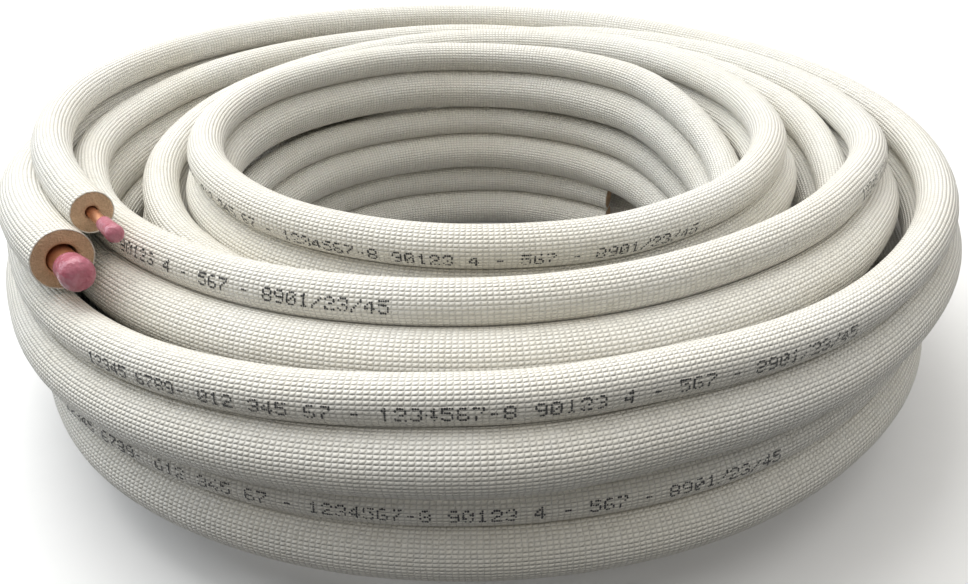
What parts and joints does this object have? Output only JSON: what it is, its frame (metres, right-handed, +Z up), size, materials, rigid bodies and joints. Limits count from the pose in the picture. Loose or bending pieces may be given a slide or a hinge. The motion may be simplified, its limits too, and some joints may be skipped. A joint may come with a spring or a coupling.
{
  "type": "insulated twin copper tube coil",
  "caption": "Flat-lying coil of small and large copper tubes in white embossed foam sleeves, wound as a pair, with capped outer ends and an open eye.",
  "frame": {"origin": "on the floor, on the axis of the coil", "axes": "+Z up along the coil's axis, -Y towards the viewer of the front, +X to the right"},
  "size_m": [0.682, 0.682, 0.2015],
  "materials": {
    "sleeve_skin": "embossed satin film",
    "copper": "drawn copper, slightly dull",
    "cap_vinyl": "soft glossy vinyl"
  },
  "bodies": {
    "root": {"insulated_coil": "sleeve_skin", "large_copper_tube": "copper", "small_copper_tube": "copper", "large_end_cap": "cap_vinyl", "small_end_cap": "cap_vinyl"}
  },
  "joints": []
}
